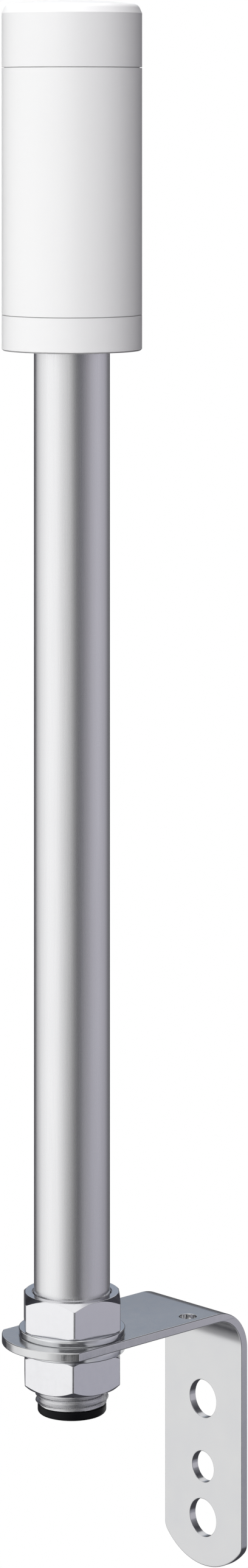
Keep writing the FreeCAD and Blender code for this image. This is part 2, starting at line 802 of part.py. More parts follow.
def buildTerminals():
    body = newBody("terminal_block")
    first = d.terminalPitch / 2 - terminalHalf
    middle = -(terminalFront + terminalBack) / 2
    block = newSketch(body, "XY_Plane")
    rectangle(block, -terminalHalf, terminalHalf, -terminalFront, -terminalBack)
    feature(body, "Pad", block, size=d.terminalHeight)
    well = circle(newSketch(body, "XY_Plane", lift=d.terminalHeight), first, middle, d.terminalWellRadius)
    wellCut = feature(body, "Pocket", well, size=d.terminalWellDepth)
    entry = newSketch(body, "XZ_Plane", lift=terminalFront)
    entryTop = d.terminalEntryRise + d.terminalEntry
    entryHalf = d.terminalEntry / 2
    rectangle(entry, first - entryHalf, first + entryHalf, d.terminalEntryRise, entryTop)
    entryCut = feature(body, "Pocket", entry, size=d.terminalEntryDepth)
    along(body, [wellCut, entryCut], "X_Axis", d.terminalPitch, d.terminalWays)
    onPole(body, driverBoardTop)

    screws = newBody("terminal_screws", severalSolids=True)
    radius = d.terminalWellRadius - d.fitPlay
    height = d.terminalWellDepth * 0.6
    disc = circle(newSketch(screws, "XY_Plane"), first, middle, radius)
    head = feature(screws, "Pad", disc, size=height)
    slot = newSketch(screws, "XY_Plane", lift=height)
    halfSlot = d.screwSlotWidth / 2
    rectangle(slot, first - halfSlot, first + halfSlot, middle - radius * 2, middle + radius * 2)
    slotCut = feature(screws, "Pocket", slot, size=d.screwSlotWidth)
    along(screws, [head, slotCut], "X_Axis", d.terminalPitch, d.terminalWays)
    onPole(screws, driverBoardTop + d.terminalHeight - d.terminalWellDepth)


def buildPins():
    """Angled pins from the driver board to the front board, and straight ones through the window."""
    thick = d.pinThickness
    side = d.pinPitch * (d.pinCount - 1) / 2
    boardFace = -boardFront
    back = -pinBack
    angled = newBody("driver_pins", severalSolids=True)
    shape = newSketch(angled, "YZ_Plane", lift=-side - thick / 2)
    outline(shape, [
        (back - thick, 0),
        (back, 0),
        (back, d.pinRise - thick),
        (boardFace, d.pinRise - thick),
        (boardFace, d.pinRise),
        (back - thick, d.pinRise),
    ])
    pin = feature(angled, "Pad", shape, size=thick)
    along(angled, [pin], "X_Axis", d.pinPitch, d.pinCount)
    onPole(angled, driverBoardTop)

    straight = newBody("link_pins", severalSolids=True)
    middle = d.carrierHeight - d.windowTop - d.windowHeight / 2
    square = newSketch(straight, "XZ_Plane")
    rectangle(square, -side - thick / 2, -side + thick / 2, middle - thick / 2, middle + thick / 2)
    bar = feature(straight, "Pad", square, size=d.webThickness, middle=True)
    along(straight, [bar], "X_Axis", d.pinPitch, d.pinCount)
    onPole(straight, flangeTop)


buildBracket()
buildPole()
buildNut("upper_nut", plateTop + d.washerThickness, d.upperNutAngle, faceUp=True)
buildNut("lower_nut", lowerNutFoot, d.lowerNutAngle, faceUp=False)
buildWasher("upper_washer", plateTop)
buildWasher("lower_washer", lowerWasherFoot)
buildBush()
buildBase()
buildLens()
buildCap()
buildGaskets()
buildFlange()
flangeScrewLength = d.flangeThickness + d.sealThickness + d.screwGrip - d.screwPlay
buildScrews("flange_screws", flangeTop, flangeScrewLength, d.screwPlaceAngle)
carrierScrewGrip = d.footThickness - d.screwSeatDepth
carrierScrewLength = carrierScrewGrip + d.flangeThickness - d.screwPlay
buildScrews("carrier_screws", flangeTop + carrierScrewGrip, carrierScrewLength, carrierScrewAngle)
buildCarrier()
buildLedBoard("front", front=True)
buildLedBoard("back", front=False)
buildDriverBoard()
buildTerminals()
buildPins()
doc.recompute()

for item in doc.Objects:
    if "Invalid" in item.State or "Error" in item.State:
        raise RuntimeError(f"{item.Label}: {item.State}")
for part in subParts:
    if part.Shape.isNull() or not part.Shape.isValid():
        raise RuntimeError(f"{part.Label} has no valid shape")

os.makedirs("parts", exist_ok=True)
for part in subParts:
    part.Shape.exportStep(f"parts/{part.Label}.step")
    box = part.Shape.BoundBox
    print(f"{part.Label:16} solids {len(part.Shape.Solids):2d}  z {box.ZMin:8.2f} to {box.ZMax:8.2f}")
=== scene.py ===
import json
import math

import bmesh
import bpy
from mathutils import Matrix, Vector


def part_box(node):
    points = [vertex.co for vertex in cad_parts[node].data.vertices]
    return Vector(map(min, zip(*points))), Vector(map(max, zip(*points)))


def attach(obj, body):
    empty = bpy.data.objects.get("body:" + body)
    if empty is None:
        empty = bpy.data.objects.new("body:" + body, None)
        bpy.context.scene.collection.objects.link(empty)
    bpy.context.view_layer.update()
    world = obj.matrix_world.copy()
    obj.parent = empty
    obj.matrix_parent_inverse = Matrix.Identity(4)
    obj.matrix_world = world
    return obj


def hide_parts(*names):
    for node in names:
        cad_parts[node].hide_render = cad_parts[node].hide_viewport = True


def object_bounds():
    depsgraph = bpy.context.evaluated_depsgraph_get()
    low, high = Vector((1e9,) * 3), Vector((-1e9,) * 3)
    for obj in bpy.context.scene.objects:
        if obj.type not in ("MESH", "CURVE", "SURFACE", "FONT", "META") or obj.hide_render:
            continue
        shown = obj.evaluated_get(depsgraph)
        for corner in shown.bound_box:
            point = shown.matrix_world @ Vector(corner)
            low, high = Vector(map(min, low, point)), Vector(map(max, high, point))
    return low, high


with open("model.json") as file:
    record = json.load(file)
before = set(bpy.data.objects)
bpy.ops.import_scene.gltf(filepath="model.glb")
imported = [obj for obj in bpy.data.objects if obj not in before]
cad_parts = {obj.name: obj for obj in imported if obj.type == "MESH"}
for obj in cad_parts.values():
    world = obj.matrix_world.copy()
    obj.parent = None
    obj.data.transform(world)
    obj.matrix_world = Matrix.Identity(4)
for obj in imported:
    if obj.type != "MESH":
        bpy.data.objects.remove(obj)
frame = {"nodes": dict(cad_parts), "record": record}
nodes = frame["nodes"]
cadLow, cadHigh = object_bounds()
mm = 0.001
fullTurn = 2 * math.pi
poleLow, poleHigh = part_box("pole")
axisY = (poleLow.y + poleHigh.y) / 2 / mm      # the pole stands on x = 0, y = axisY
plateThickness = 2.5                           # the bracket's plate
meshing = {
    "turnSteps": 144,
    "weld": 1e-4,                              # points closer than this become one
    "sharpAngle": math.radians(40),
}
print("frame loaded:", len(nodes), "nodes")


# what the meshes are made with; sizes are in mm until the vertices are placed

def foot(node):
    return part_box(node)[0].z / mm


def top(node):
    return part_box(node)[1].z / mm


def evenly(start, stop, count):
    return [start + (stop - start) * i / count for i in range(count + 1)]


def rounded(corners, steps=5):
    # corners are (across, up, radius); each corner with a radius becomes an arc
    points = []
    for i, (across, up, radius) in enumerate(corners):
        here = Vector((across, up))
        if not radius:
            points.append(here)
            continue
        back = (Vector(corners[i - 1][:2]) - here).normalized()
        ahead = (Vector(corners[(i + 1) % len(corners)][:2]) - here).normalized()
        half = back.angle(ahead) / 2
        middle = here + (back + ahead).normalized() * radius / math.sin(half)
        start = here + back * radius / math.tan(half) - middle
        stop = here + ahead * radius / math.tan(half) - middle
        first = math.atan2(start.y, start.x)
        sweep = (math.atan2(stop.y, stop.x) - first + math.pi) % fullTurn - math.pi
        for angle in evenly(first, first + sweep, steps):
            points.append(middle + Vector((math.cos(angle), math.sin(angle))) * radius)
    return points


def newPiece(name, body, slot, finish, *replaced):
    piece = bpy.data.objects.new(name, bpy.data.meshes.new(name))
    bpy.context.scene.collection.objects.link(piece)
    piece.data.materials.append(finish)
    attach(piece, body)
    if replaced:
        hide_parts(*replaced)
    return piece


def spun(name, body, slot, finish, replaced, profileAt, headings):
    # profileAt(heading) is a closed outline of (radius, height) points, as many for each heading
    piece = newPiece(name, body, slot, finish, *replaced)
    mesh = bmesh.new()
    rings = []
    for heading in headings:
        outward = Vector((math.cos(heading), math.sin(heading), 0))
        ring = []
        for radius, height in profileAt(heading):
            ring.append(mesh.verts.new((outward * radius + Vector((0, axisY, height))) * mm))
        rings.append(ring)
    for here, beyond in zip(rings, rings[1:]):
        for i in range(len(here)):
            mesh.faces.new((here[i - 1], beyond[i - 1], beyond[i], here[i]))
    bmesh.ops.remove_doubles(mesh, verts=mesh.verts, dist=meshing["weld"] * mm)
    bmesh.ops.recalc_face_normals(mesh, faces=mesh.faces)
    mesh.to_mesh(piece.data)
    mesh.free()
    piece.data.shade_smooth()
    piece.data.set_sharp_from_angle(angle=meshing["sharpAngle"])
    weights = piece.modifiers.new("evenShade", "WEIGHTED_NORMAL")
    weights.keep_sharp = True
    return piece


around = evenly(0, fullTurn, meshing["turnSteps"])
sixth = fullTurn / 6


# finishes, all made of nodes

class Recipe:
    # one material with its node tree and its shader
    def __init__(self, name, **sockets):
        self.material = bpy.data.materials.new(name)
        self.material.use_nodes = True
        self.tree = self.material.node_tree
        self.shader = self.tree.nodes["Principled BSDF"]
        for label, value in sockets.items():
            self.shader.inputs[label.replace("_", " ")].default_value = value
        self.outputs = self.node("ShaderNodeTexCoord").outputs
        self.places = self.outputs["Object"]

    def node(self, kind, **settings):
        made = self.tree.nodes.new(kind)
        for label, value in settings.items():
            setattr(made, label, value)
        return made

    def join(self, source, target):
        self.tree.links.new(source, target)

    def noise(self, size, stretch=(1, 1, 1), detail=3.0, roughness=0.5):
        # size is the grain in mm; stretch lengthens it along an axis
        mapping = self.node("ShaderNodeMapping")
        mapping.inputs["Scale"].default_value = [1 / (size * mm * s) for s in stretch]
        self.join(self.places, mapping.inputs["Vector"])
        pattern = self.node("ShaderNodeTexNoise")
        pattern.inputs["Scale"].default_value = 1.0
        pattern.inputs["Detail"].default_value = detail
        pattern.inputs["Roughness"].default_value = roughness
        self.join(mapping.outputs["Vector"], pattern.inputs["Vector"])
        return pattern.outputs["Fac"]

    def between(self, source, low, high, start=0.3, stop=0.7):
        spread = self.node("ShaderNodeMapRange")
        spread.inputs["From Min"].default_value = start
        spread.inputs["From Max"].default_value = stop
        spread.inputs["To Min"].default_value = low
        spread.inputs["To Max"].default_value = high
        self.join(source, spread.inputs["Value"])
        return spread.outputs["Result"]

    def blend(self, source, first, second):
        mix = self.node("ShaderNodeMix", data_type="RGBA")
        mix.inputs[6].default_value = (*first, 1)
        mix.inputs[7].default_value = (*second, 1)
        self.join(source, mix.inputs[0])
        return mix.outputs[2]

    def maths(self, operation, first, second):
        # second is a socket or a number
        made = self.node("ShaderNodeMath", operation=operation)
        self.join(first, made.inputs[0])
        if isinstance(second, bpy.types.NodeSocket):
            self.join(second, made.inputs[1])
        else:
            made.inputs[1].default_value = second
        return made.outputs["Value"]

    def upward(self, source):
        parts = self.node("ShaderNodeSeparateXYZ")
        self.join(source, parts.inputs["Vector"])
        return parts.outputs["Z"]

    def relief(self, source, height, under=None):
        # height is the relief in mm; under is a relief that this one lies on
        bump = self.node("ShaderNodeBump")
        bump.inputs["Strength"].default_value = 1.0
        bump.inputs["Distance"].default_value = height * mm
        self.join(source, bump.inputs["Height"])
        if under:
            self.join(under, bump.inputs["Normal"])
        return bump.outputs["Normal"]

    def finish(self, colour=None, roughness=None, normal=None):
        for source, label in ((colour, "Base Color"), (roughness, "Roughness"), (normal, "Normal")):
            if source:
                self.join(source, self.shader.inputs[label])
        return self.material


def moulded(name, colours, roughness, grain, grainHeight, cloudSize, cloudStretch=(1, 1, 1)):
    # satin plastic: a fine moulded grain and a faint cloudiness
    recipe = Recipe(name, IOR=1.49)
    clouds = recipe.noise(cloudSize, stretch=cloudStretch, detail=2)
    fine = recipe.noise(grain, detail=4)
    colour = recipe.blend(clouds, *colours)
    return recipe.finish(colour, recipe.between(fine, *roughness), recipe.relief(fine, grainHeight))


def drawnMetal(name, colours, roughness, grainHeight):
    # satin tube: fine lines along the tube from drawing, and a faint cloudiness
    recipe = Recipe(name, Metallic=1.0)
    lines = recipe.noise(0.12, stretch=(1, 1, 160), detail=5, roughness=0.6)
    clouds = recipe.noise(9, stretch=(1, 1, 4), detail=2)
    colour = recipe.blend(clouds, *colours)
    return recipe.finish(colour, recipe.between(lines, *roughness), recipe.relief(lines, grainHeight))


def zinc(name, colours, roughness, grainHeight):
    # bright plating: pale and dark patches, a fine grain and a soft unevenness
    recipe = Recipe(name, Metallic=1.0)
    patches = recipe.noise(2.2, detail=4, roughness=0.65)
    fine = recipe.noise(0.35, detail=4)
    waves = recipe.noise(5, detail=1)
    colour = recipe.blend(patches, *colours)
    soft = recipe.relief(waves, grainHeight * 4)
    shine = recipe.between(patches, *roughness)
    return recipe.finish(colour, shine, recipe.relief(fine, grainHeight, soft))


plating = {
    "colours": ((0.665, 0.67, 0.69), (0.73, 0.73, 0.72)),
    "roughness": (0.15, 0.22),
    "grainHeight": 0.0004,
    "rimSmoother": (0.06, 0.12),       # taken off the roughness of the arm's rim
    "rimSlant": (0.2, 0.6),            # upward share of the normal, from the rim to the faces
    "rimFade": 0.3,                    # height over which the rim's finish starts
    "lineHeight": 0.006,               # of the lines across the rim
}


def bracketZinc():
    # bright plating on rolled plate; the arm's punched rim is smoother, with fine lines across it
    recipe = Recipe("bracketZinc", Metallic=1.0)
    armFoot = top("bracket") - plateThickness
    clouds = recipe.noise(9, detail=3, roughness=0.6)
    patches = recipe.noise(2.2, detail=4, roughness=0.65)
    fine = recipe.noise(0.35, detail=4)
    lines = recipe.noise(0.4, stretch=(1, 1, 30), detail=3)
    colour = recipe.blend(clouds, *plating["colours"])
    steep = recipe.maths("ABSOLUTE", recipe.upward(recipe.outputs["Normal"]), 0)
    steep = recipe.between(steep, 1, 0, *plating["rimSlant"])
    height = recipe.upward(recipe.places)
    high = recipe.between(height, 0, 1, armFoot * mm, (armFoot + plating["rimFade"]) * mm)
    rim = recipe.maths("MULTIPLY", steep, high)
    plate = recipe.between(patches, *plating["roughness"])
    smoother = recipe.maths("SUBTRACT", plate, recipe.between(lines, *plating["rimSmoother"]))
    shine = recipe.node("ShaderNodeMix", data_type="FLOAT")
    recipe.join(rim, shine.inputs[0])
    recipe.join(plate, shine.inputs[2])
    recipe.join(smoother, shine.inputs[3])
    marks = recipe.relief(recipe.maths("MULTIPLY", lines, rim), plating["lineHeight"])
    return recipe.finish(colour, shine.outputs[0], recipe.relief(fine, plating["grainHeight"], marks))


def dullSkin(name, colours, roughness, grain=0.3, height=0.004, metallic=0.0, ior=1.5):
    recipe = Recipe(name, Metallic=metallic, IOR=ior)
    fine = recipe.noise(grain, detail=4)
    colour = recipe.blend(recipe.noise(6, detail=2), *colours)
    return recipe.finish(colour, recipe.between(fine, *roughness), recipe.relief(fine, height))


# by material slot; each has its two colours, its range of roughness and the rest of its grain
finishes = {
    "white_plastic": moulded(
        "whitePlastic", ((0.86, 0.86, 0.865), (0.90, 0.90, 0.90)), (0.36, 0.46),
        grain=0.25, grainHeight=0.0015, cloudSize=14),
    "opal_plastic": moulded(
        "opalPlastic", ((0.87, 0.87, 0.872), (0.90, 0.90, 0.90)), (0.34, 0.42),
        grain=0.18, grainHeight=0.001, cloudSize=22, cloudStretch=(1, 1, 3)),
    "pole_aluminium": drawnMetal(
        "poleAluminium", ((0.78, 0.78, 0.79), (0.82, 0.82, 0.83)), (0.24, 0.32), 0.0006),
    "flange_aluminium": dullSkin(
        "flangeAluminium", ((0.70, 0.70, 0.71), (0.76, 0.76, 0.77)), (0.25, 0.38),
        grain=0.2, height=0.003, metallic=1.0),
    "bracket_zinc": bracketZinc(),
    "washer_zinc": zinc("washerZinc", ((0.72, 0.73, 0.75), (0.79, 0.80, 0.81)), (0.08, 0.13), 0.0002),
    "nut_zinc": zinc("nutZinc", ((0.77, 0.77, 0.79), (0.83, 0.83, 0.85)), (0.09, 0.15), 0.0003),
    "screw_steel": dullSkin(
        "screwSteel", ((0.55, 0.55, 0.57), (0.68, 0.68, 0.70)), (0.22, 0.40),
        grain=0.15, height=0.003, metallic=1.0),
    "pin_metal": dullSkin(
        "pinMetal", ((0.74, 0.60, 0.30), (0.82, 0.68, 0.36)), (0.18, 0.30),
        grain=0.1, height=0.001, metallic=1.0),
    "seal_rubber": dullSkin("sealRubber", ((0.62, 0.62, 0.63), (0.70, 0.70, 0.71)), (0.60, 0.80)),
    "bush_rubber": dullSkin(
        "bushRubber", ((0.002, 0.002, 0.003), (0.004, 0.004, 0.005)), (0.30, 0.40), ior=1.22),
    "frame_plastic": dullSkin("framePlastic", ((0.74, 0.74, 0.71), (0.80, 0.80, 0.77)), (0.45, 0.60)),
    "board": dullSkin(
        "board", ((0.78, 0.79, 0.76), (0.84, 0.85, 0.82)), (0.35, 0.50), grain=0.4, height=0.006),
    "led": dullSkin(
        "lamp", ((0.80, 0.66, 0.20), (0.88, 0.76, 0.30)), (0.12, 0.22), grain=0.5, height=0.001),
    "terminal_plastic": dullSkin(
        "terminalPlastic", ((0.03, 0.15, 0.06), (0.04, 0.19, 0.08)), (0.40, 0.55)),
}
for row in frame["record"]["subparts"]:
    mesh = nodes[row["node"]].data
    mesh.materials.clear()
    mesh.materials.append(finishes[row["material_slot"]])
print("finishes made:", len(finishes))


# the pole, with the real form of its thread

pole = {
    "radius": 10.85,
    "bore": 8.05,
    "threadRadius": 10.4775,
    "threadDepth": 1.162,
    "pitch": 1.814,
    "rowsPerPitch": 12,
    "crestFrom": 0.9,          # from the groove's middle, as a share of the way to the crest's middle
    "rootTo": 0.12,
    "endChamfer": 1.2,
    "runOut": 2.6,             # length over which the thread fades below the shoulder
    "shoulderDrop": 0.3,       # shoulder below the upper nut's face
}


def threadDepthAt(heading, height, low, high):
    turns = (height - low) / pole["pitch"] - heading / fullTurn
    away = abs(turns % 1 * 2 - 1)                      # 0 at the groove's middle, 1 on the crest
    share = min(max((pole["crestFrom"] - away) / (pole["crestFrom"] - pole["rootTo"]), 0), 1)
    fade = min(max((high - height) / pole["runOut"], 0), 1)
    return pole["threadDepth"] * share * fade


def poleProfile(heading):
    low, high = foot("pole"), top("pole")
    shoulder = top("upper_nut") - pole["shoulderDrop"]
    threadEnd = shoulder - (pole["radius"] - pole["threadRadius"])
    step = pole["pitch"] / pole["rowsPerPitch"]
    start = low - pole["pitch"] * (1 - heading / fullTurn)
    count = math.ceil((threadEnd - low) / step) + pole["rowsPerPitch"] + 1
    points = [(pole["bore"], low)]
    for i in range(count):
        height = min(max(start + i * step, low), threadEnd)
        radius = pole["threadRadius"] - threadDepthAt(heading, height, low, threadEnd)
        points.append((min(radius, pole["threadRadius"] - pole["endChamfer"] + height - low), height))
    points += [(pole["radius"], shoulder), (pole["radius"], high), (pole["bore"], high)]
    return points


spun("poleTube", "mast", "pole_aluminium", finishes["pole_aluminium"], ["pole"], poleProfile, around)
print("pole made")


# the cap: a shallow dome on a round shoulder, over the spigot with its gasket groove and bayonet lugs

cap = {
    "radius": 20.0,
    "height": 19.0,
    "domeRise": 1.42,
    "shoulderFoot": 15.3,
    "shoulderInset": 2.1,
    "shoulderLean": math.radians(24),      # the shoulder's tilt where it leaves the side
    "shoulderSteps": 10,
    "domeSteps": 16,
    "crisp": 0.04,                         # width of the shading's step under the shoulder
    "roof": 2.2,
    "spigot": 17.0,
    "spigotWall": 1.8,
    "spigotLength": 8.0,
    "groove": (18.35, 19.35, 0.9),         # inner and outer radius, depth
    "lugs": 3,
    "lugPlace": math.radians(60),
    "lugHalf": math.radians(7),
    "lugReach": 1.0,
    "lugHeight": 2.0,
    "lugInset": 1.5,                       # from the spigot's free end
    "lugDraft": math.radians(0.1),         # slope of the lugs' ends, to each side
}


def capOutside():
    # the side, a leaning start to the shoulder, an arc that meets the dome without a corner, and the dome
    sphere = (cap["radius"] ** 2 + cap["domeRise"] ** 2) / (cap["domeRise"] * 2)
    inner = cap["radius"] - cap["shoulderInset"]
    last = math.acos(inner / sphere)
    domeCentre = cap["height"] - sphere
    domeFoot = domeCentre + sphere * math.sin(last)
    lean = cap["shoulderLean"]
    rise = domeFoot - cap["shoulderFoot"]
    arcIn = math.cos(lean) - math.cos(last)
    arcUp = math.sin(last) - math.sin(lean)
    reach = rise * math.sin(lean) - cap["shoulderInset"] * math.cos(lean)
    reach /= arcUp * math.sin(lean) - arcIn * math.cos(lean)
    side, start, crisp = cap["radius"], cap["shoulderFoot"], cap["crisp"]
    points = [(side, 0), (side, start - crisp), (side, start)]
    points.append((side - crisp * math.sin(lean), start + crisp * math.cos(lean)))
    for angle in evenly(lean, last, cap["shoulderSteps"]):
        across = inner + reach * (math.cos(angle) - math.cos(last))
        points.append((across, domeFoot + reach * (math.sin(angle) - math.sin(last))))
    for angle in evenly(last, math.pi / 2, cap["domeSteps"])[1:]:
        points.append((sphere * math.cos(angle), domeCentre + sphere * math.sin(angle)))
    return points


def capProfile(heading):
    seam = top("top_cap") - cap["height"]
    grooveInner, grooveOuter, grooveDepth = cap["groove"]
    spigot, spigotFoot = cap["spigot"], -cap["spigotLength"]
    bore = spigot - cap["spigotWall"]
    roof = cap["height"] - cap["domeRise"] - cap["roof"]
    lugFoot = spigotFoot + cap["lugInset"]
    lugTop = lugFoot + cap["lugHeight"]
    spacing = fullTurn / cap["lugs"]
    away = abs((heading - cap["lugPlace"] + spacing / 2) % spacing - spacing / 2)
    out = spigot + (cap["lugReach"] if away < cap["lugHalf"] else 0)
    points = [(0, roof), (bore, roof), (bore, spigotFoot), (spigot, spigotFoot)]
    points += [(spigot, lugFoot), (out, lugFoot), (out, lugTop), (spigot, lugTop)]
    points += [(spigot, 0), (grooveInner, 0), (grooveInner, grooveDepth)]
    points += [(grooveOuter, grooveDepth), (grooveOuter, 0)]
    points += capOutside()
    return [(radius, seam + height) for radius, height in points]


def makeCap():
    headings = list(around)
    for k in range(cap["lugs"]):
        place = cap["lugPlace"] + fullTurn / cap["lugs"] * k
        for end in (place - cap["lugHalf"], place + cap["lugHalf"]):
            headings += [end - cap["lugDraft"], end + cap["lugDraft"]]
    white = finishes["white_plastic"]
    spun("capShell", "cap", "white_plastic", white, ["top_cap"], capProfile, sorted(headings))


makeCap()
print("cap made")


# nuts: rounded corners, a deep chamfer on the outer face and a slight one on the inner face

nut = {
    "flat": 13.5,              # axis to a flat
    "height": 10.0,
    "faceRadius": 13.35,
    "backRadius": 14.7,
    "chamfer": math.radians(42),
    "bore": 10.54,
    "sinkRadius": 11.45,
    "sinkRound": 0.1,
    "cornerRound": 0.9,
    "edgeRound": 0.22,
    "leastBreak": 0.22,        # least width of a chamfer, on the flats
    "roundSteps": 3,
    "cornerSteps": 6,
    "flatSteps": 12,
}
cornerReach = (nut["flat"] - nut["cornerRound"]) / math.cos(sixth / 2)
cornerHalf = math.atan2(nut["cornerRound"] / 2, cornerReach + nut["cornerRound"] * math.cos(sixth / 2))


def hexRadius(angle):
    # distance from the axis to the side, for an angle measured from a corner
    off = abs((angle + sixth / 2) % sixth - sixth / 2)
    if off > cornerHalf:
        return nut["flat"] / math.cos(sixth / 2 - off)
    side = cornerReach * math.sin(off)
    return cornerReach * math.cos(off) + math.sqrt(nut["cornerRound"] ** 2 - side ** 2)


def makeNut(name, node, body, turn, faceUp):
    low = foot(node)
    sink = nut["sinkRadius"] - nut["bore"]
    slope = math.tan(nut["chamfer"])
    edge, rim = nut["edgeRound"], nut["sinkRound"]

    def profileAt(heading):
        side = hexRadius(heading - turn)
        faceRadius = min(nut["faceRadius"], side - nut["leastBreak"])
        backRadius = min(nut["backRadius"], side - nut["leastBreak"])
        corners = [
            (nut["bore"], sink, rim),
            (nut["sinkRadius"], 0, rim),
            (backRadius, 0, edge),
            (side, (side - backRadius) * slope, edge),
            (side, nut["height"] - (side - faceRadius) * slope, edge),
            (faceRadius, nut["height"], edge),
            (nut["sinkRadius"], nut["height"], rim),
            (nut["bore"], nut["height"] - sink, rim),
        ]
        points = rounded(corners, nut["roundSteps"])
        if faceUp:
            return [(p.x, low + p.y) for p in points]
        return [(p.x, low + nut["height"] - p.y) for p in points]

    headings = []
    for k in range(6):
        corner = turn + sixth * k
        headings += evenly(corner - cornerHalf, corner + cornerHalf, nut["cornerSteps"])
        headings += evenly(corner + cornerHalf, corner + sixth - cornerHalf, nut["flatSteps"])[1:-1]
    headings.append(headings[0] + fullTurn)
    return spun(name, body, "nut_zinc", finishes["nut_zinc"], [node], profileAt, headings)


makeNut("upperNut", "upper_nut", "mast", math.radians(19.6), faceUp=True)
makeNut("lowerNut", "lower_nut", "lower_nut", math.radians(18.3), faceUp=False)


# washers: punched, so the outer edge is rolled over

washer = {"radius": 15.2, "bore": 10.75, "edgeRound": 0.35, "boreRound": 0.15}


def makeWasher(name, node, body):
    low, high = foot(node), top(node)
    corners = [
        (washer["bore"], low, washer["boreRound"]),
        (washer["radius"], low, washer["edgeRound"]),
        (washer["radius"], high, washer["edgeRound"]),
        (washer["bore"], high, washer["boreRound"]),
    ]
    outline = rounded(corners)
    bright = finishes["washer_zinc"]
    return spun(name, body, "washer_zinc", bright, [node], lambda heading: outline, around)


makeWasher("upperWasher", "upper_washer", "mast")
makeWasher("lowerWasher", "lower_washer", "lower_washer")
print("nuts and washers made")


# the bush that closes the pole's end

bush = {
    "bore": 6.0,
    "boreRound": 0.6,
    "flange": 9.8,
    "flangeHeight": 2.4,
    "edgeRound": 0.9,
    "seatRound": 0.2,
    "plug": 8.02,
    "plugRound": 0.3,
    "roundSteps": 6,
}
seat = foot("pole")
bushOutline = rounded([
    (bush["bore"], seat - bush["flangeHeight"], bush["boreRound"]),
    (bush["flange"], seat - bush["flangeHeight"], bush["edgeRound"]),
    (bush["flange"], seat, bush["seatRound"]),
    (bush["plug"], seat, 0),
    (bush["plug"], top("end_bush"), bush["plugRound"]),
    (bush["bore"], top("end_bush"), bush["plugRound"]),
], bush["roundSteps"])
black = finishes["bush_rubber"]
spun("endBush", "mast", "bush_rubber", black, ["end_bush"], lambda heading: bushOutline, around)
print("bush made")


# the bracket: a flat blank with its holes, folded

bracket = {
    "bend": 12.0,              # outside radius of the fold
    "armRadius": 20.0,
    "legRadius": 20.0,
    "armCorner": 0.6,
    "legCorner": 4.0,
    "edgeRound": 0.3,
    "holeRound": 0.2,
    "foldSteps": 28,
    "edgeSteps": 4,
    "cornerSteps": 8,
    "endSteps": 40,
    "holeSteps": 72,
    "earthHoleSteps": 40,
    "cutMargin": 1e-5,         # points this close to a cut count as on it
    "sharpAngle": 10,          # the rim's rows stay crisp, and the fold and the holes smooth
    "earthHole": (11.3, 35.2, 2.5),        # across, from the pole's axis towards the wall, radius
    "wallHoles": ((30.0, 5.5), (50.0, 4.5), (65.0, 5.5)),     # below the arm's top, radius
    "poleHole": 10.75,
}
bracketLow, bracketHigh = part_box("bracket")
half = (bracketHigh.x - bracketLow.x) / 2 / mm
plateTop = bracketHigh.z / mm
foldStart = -bracket["bend"]           # y where the arm ends and the fold starts
foldLength = (bracket["bend"] - plateThickness / 2) * math.pi / 2


def armAlong(y):
    return y - foldStart


def legAlong(z):
    return foldLength + plateTop - bracket["bend"] - z


def arcPoints(centre, radius, start, stop, steps):
    # points of an arc of the blank's edge, each with its outward direction
    found = []
    for angle in evenly(start, stop, steps):
        outward = Vector((math.cos(angle), math.sin(angle)))
        found.append((Vector(centre) + outward * radius, outward))
    return found


def endPoints(middle, way, radius, corner):
    # the rounded end of the blank, from its right side to its left for way +1
    rise = math.sqrt((radius - corner) ** 2 - (half - corner) ** 2)
    tilt = math.atan2(rise, half - corner)
    steps = bracket["cornerSteps"]
    right = arcPoints((half - corner, rise), corner, 0, tilt, steps)
    main = arcPoints((0, 0), radius, tilt, math.pi - tilt, bracket["endSteps"])[1:-1]
    left = arcPoints((corner - half, rise), corner, math.pi - tilt, math.pi, steps)
    points = []
    for spot, outward in right + main + left:
        spot, outward = spot * way, outward * way
        points.append((Vector((spot.x, spot.y + middle)), outward))
    return points


def holePoints(across, along, radius, steps):
    circle = arcPoints((across, along), radius, 0, fullTurn, steps)[:-1]
    return [(spot, -outward) for spot, outward in circle]


def edgeRows(size):
    # how far in and how deep each row of the rim lies
    angles = evenly(0, math.pi / 2, bracket["edgeSteps"])
    rows = [(size * (1 - math.sin(angle)), size * (1 - math.cos(angle))) for angle in angles]
    return rows + [(inset, plateThickness - depth) for inset, depth in reversed(rows)]


def folded(across, along, depth):
    # where a point of the blank lies after folding
    if along <= 0:
        return Vector((across, foldStart + along, plateTop - depth))
    if along >= foldLength:
        return Vector((across, -depth, plateTop - bracket["bend"] - (along - foldLength)))
    angle = along / foldLength * math.pi / 2
    reach = bracket["bend"] - depth
    rise = reach * math.cos(angle) - bracket["bend"]
    return Vector((across, foldStart + reach * math.sin(angle), plateTop + rise))


